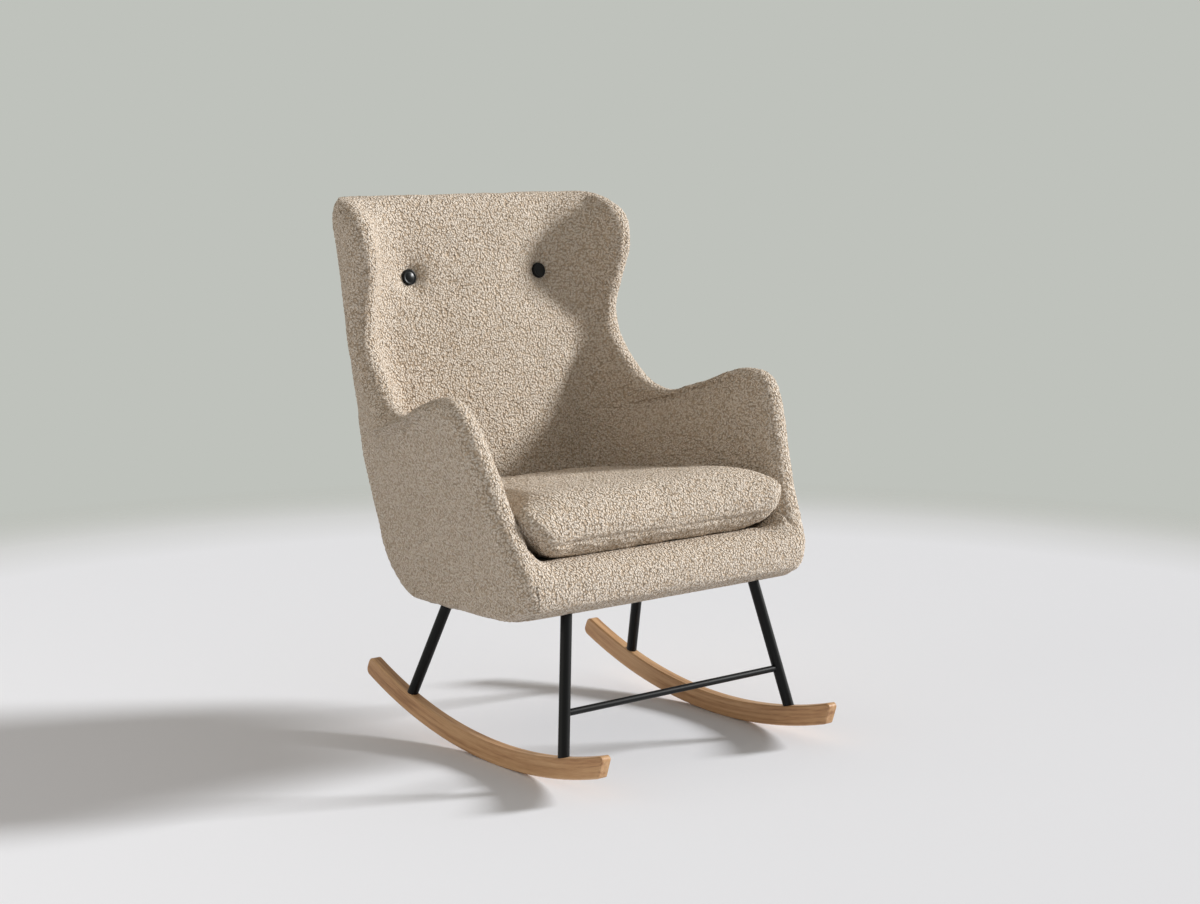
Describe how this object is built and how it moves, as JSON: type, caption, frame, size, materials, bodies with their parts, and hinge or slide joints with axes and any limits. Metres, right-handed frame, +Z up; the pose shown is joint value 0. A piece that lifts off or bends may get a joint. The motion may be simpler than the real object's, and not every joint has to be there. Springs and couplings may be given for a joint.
{
  "type": "upholstered rocking chair",
  "caption": "Wing-back rocking chair with a padded wrap-around shell, loose seat cushion, splayed steel tube legs and bent oak rockers.",
  "frame": {"origin": "on the floor, midway between the rockers, at the lowest point of their arc", "axes": "+Z up; the chair faces -Y; +X is to the right as seen from the front"},
  "size_m": [0.754, 0.7915, 0.968],
  "materials": {
    "oak": "clear satin lacquer over light oak",
    "black_steel": "satin black powder coat",
    "zinc_steel": "zinc plated",
    "frame_wood": "unfinished hardwood and plywood",
    "webbing": "woven elastic webbing",
    "deck_cloth": "cotton cloth over felt",
    "dust_cloth": "black non-woven cloth",
    "boucle": "cream looped wool cloth over foam",
    "foam": "soft foam",
    "button": "black, slightly glossy",
    "twine": "waxed twine"
  },
  "bodies": {
    "chair": {"back_lower_rail": "frame_wood", "back_top_rail": "frame_wood", "back_webbing": "webbing", "button_ties": "twine", "dust_cover": "dust_cloth", "front_crossbar": "black_steel", "front_rail_pad": "boucle", "front_seat_rail": "frame_wood", "inside_back_pad": "boucle", "left_arm_post": "frame_wood", "left_arm_rail": "frame_wood", "left_back_button": "button", "left_back_post": "frame_wood", "left_front_corner_block": "frame_wood", "left_front_leg": "black_steel", "left_front_leg_plate": "black_steel", "left_rear_corner_block": "frame_wood", "left_rear_leg": "black_steel", "left_rear_leg_plate": "black_steel", "left_rocker": "oak", "left_side_pad": "boucle", "left_side_rail": "frame_wood", "left_wing_board": "frame_wood", "leg_plate_screws": "zinc_steel", "leg_plugs": "zinc_steel", "outside_back_panel": "boucle", "rear_seat_rail": "frame_wood", "right_arm_post": "frame_wood", "right_arm_rail": "frame_wood", "right_back_button": "button", "right_back_post": "frame_wood", "right_front_corner_block": "frame_wood", "right_front_leg": "black_steel", "right_front_leg_plate": "black_steel", "right_rear_corner_block": "frame_wood", "right_rear_leg": "black_steel", "right_rear_leg_plate": "black_steel", "right_rocker": "oak", "right_side_pad": "boucle", "right_side_rail": "frame_wood", "right_wing_board": "frame_wood", "rocker_bolts": "zinc_steel", "seat_deck_pad": "deck_cloth", "seat_webbing": "webbing"},
    "seat_cushion": {"seat_cushion_core": "foam", "seat_cushion_cover": "boucle"}
  },
  "joints": [
    {"name": "seat_cushion_lift", "type": "slide", "parent": "chair", "child": "seat_cushion", "axis": [0, 0, 1], "range_m": [0, 0.25]}
  ]
}
